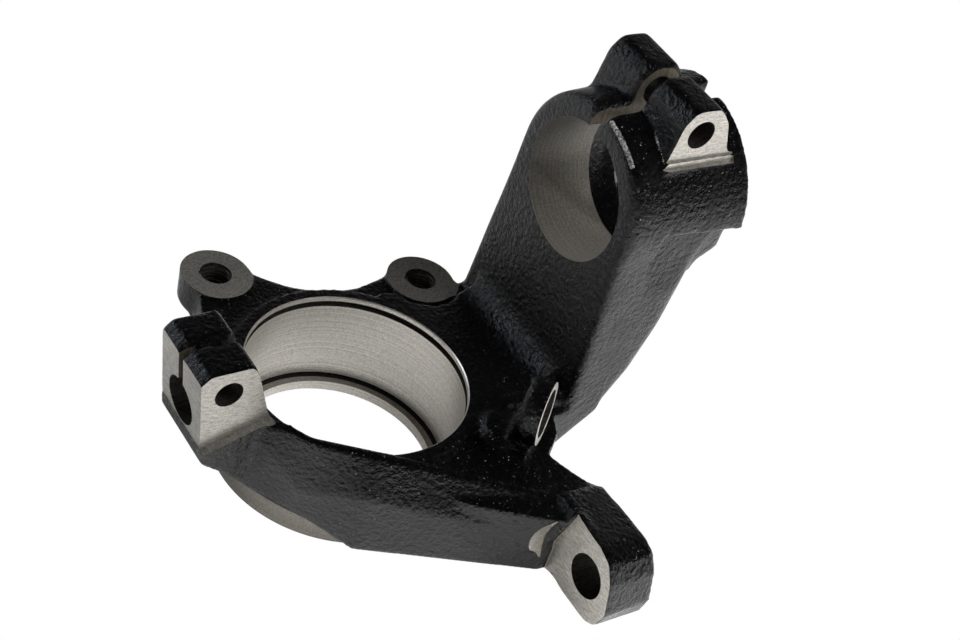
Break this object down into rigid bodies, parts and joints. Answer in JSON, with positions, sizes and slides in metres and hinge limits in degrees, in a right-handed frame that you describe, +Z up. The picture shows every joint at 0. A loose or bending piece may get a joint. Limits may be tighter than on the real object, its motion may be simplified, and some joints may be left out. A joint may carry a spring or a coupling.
{
  "type": "steering knuckle",
  "caption": "Cast steering knuckle with a bearing bore, a clamp for the strut, a ball-joint clamp, a steering arm and lugs for the brake caliper.",
  "frame": {"origin": "on the hub axis, at the top of the bearing bore", "axes": "+Z up the hub axis out of the bearing bore, +X towards the strut clamp, -Y towards the tie-rod lug"},
  "size_m": [0.1945, 0.1936, 0.163],
  "materials": {
    "casting": "satin"
  },
  "bodies": {
    "root": {"knuckle_casting": "casting"}
  },
  "joints": []
}
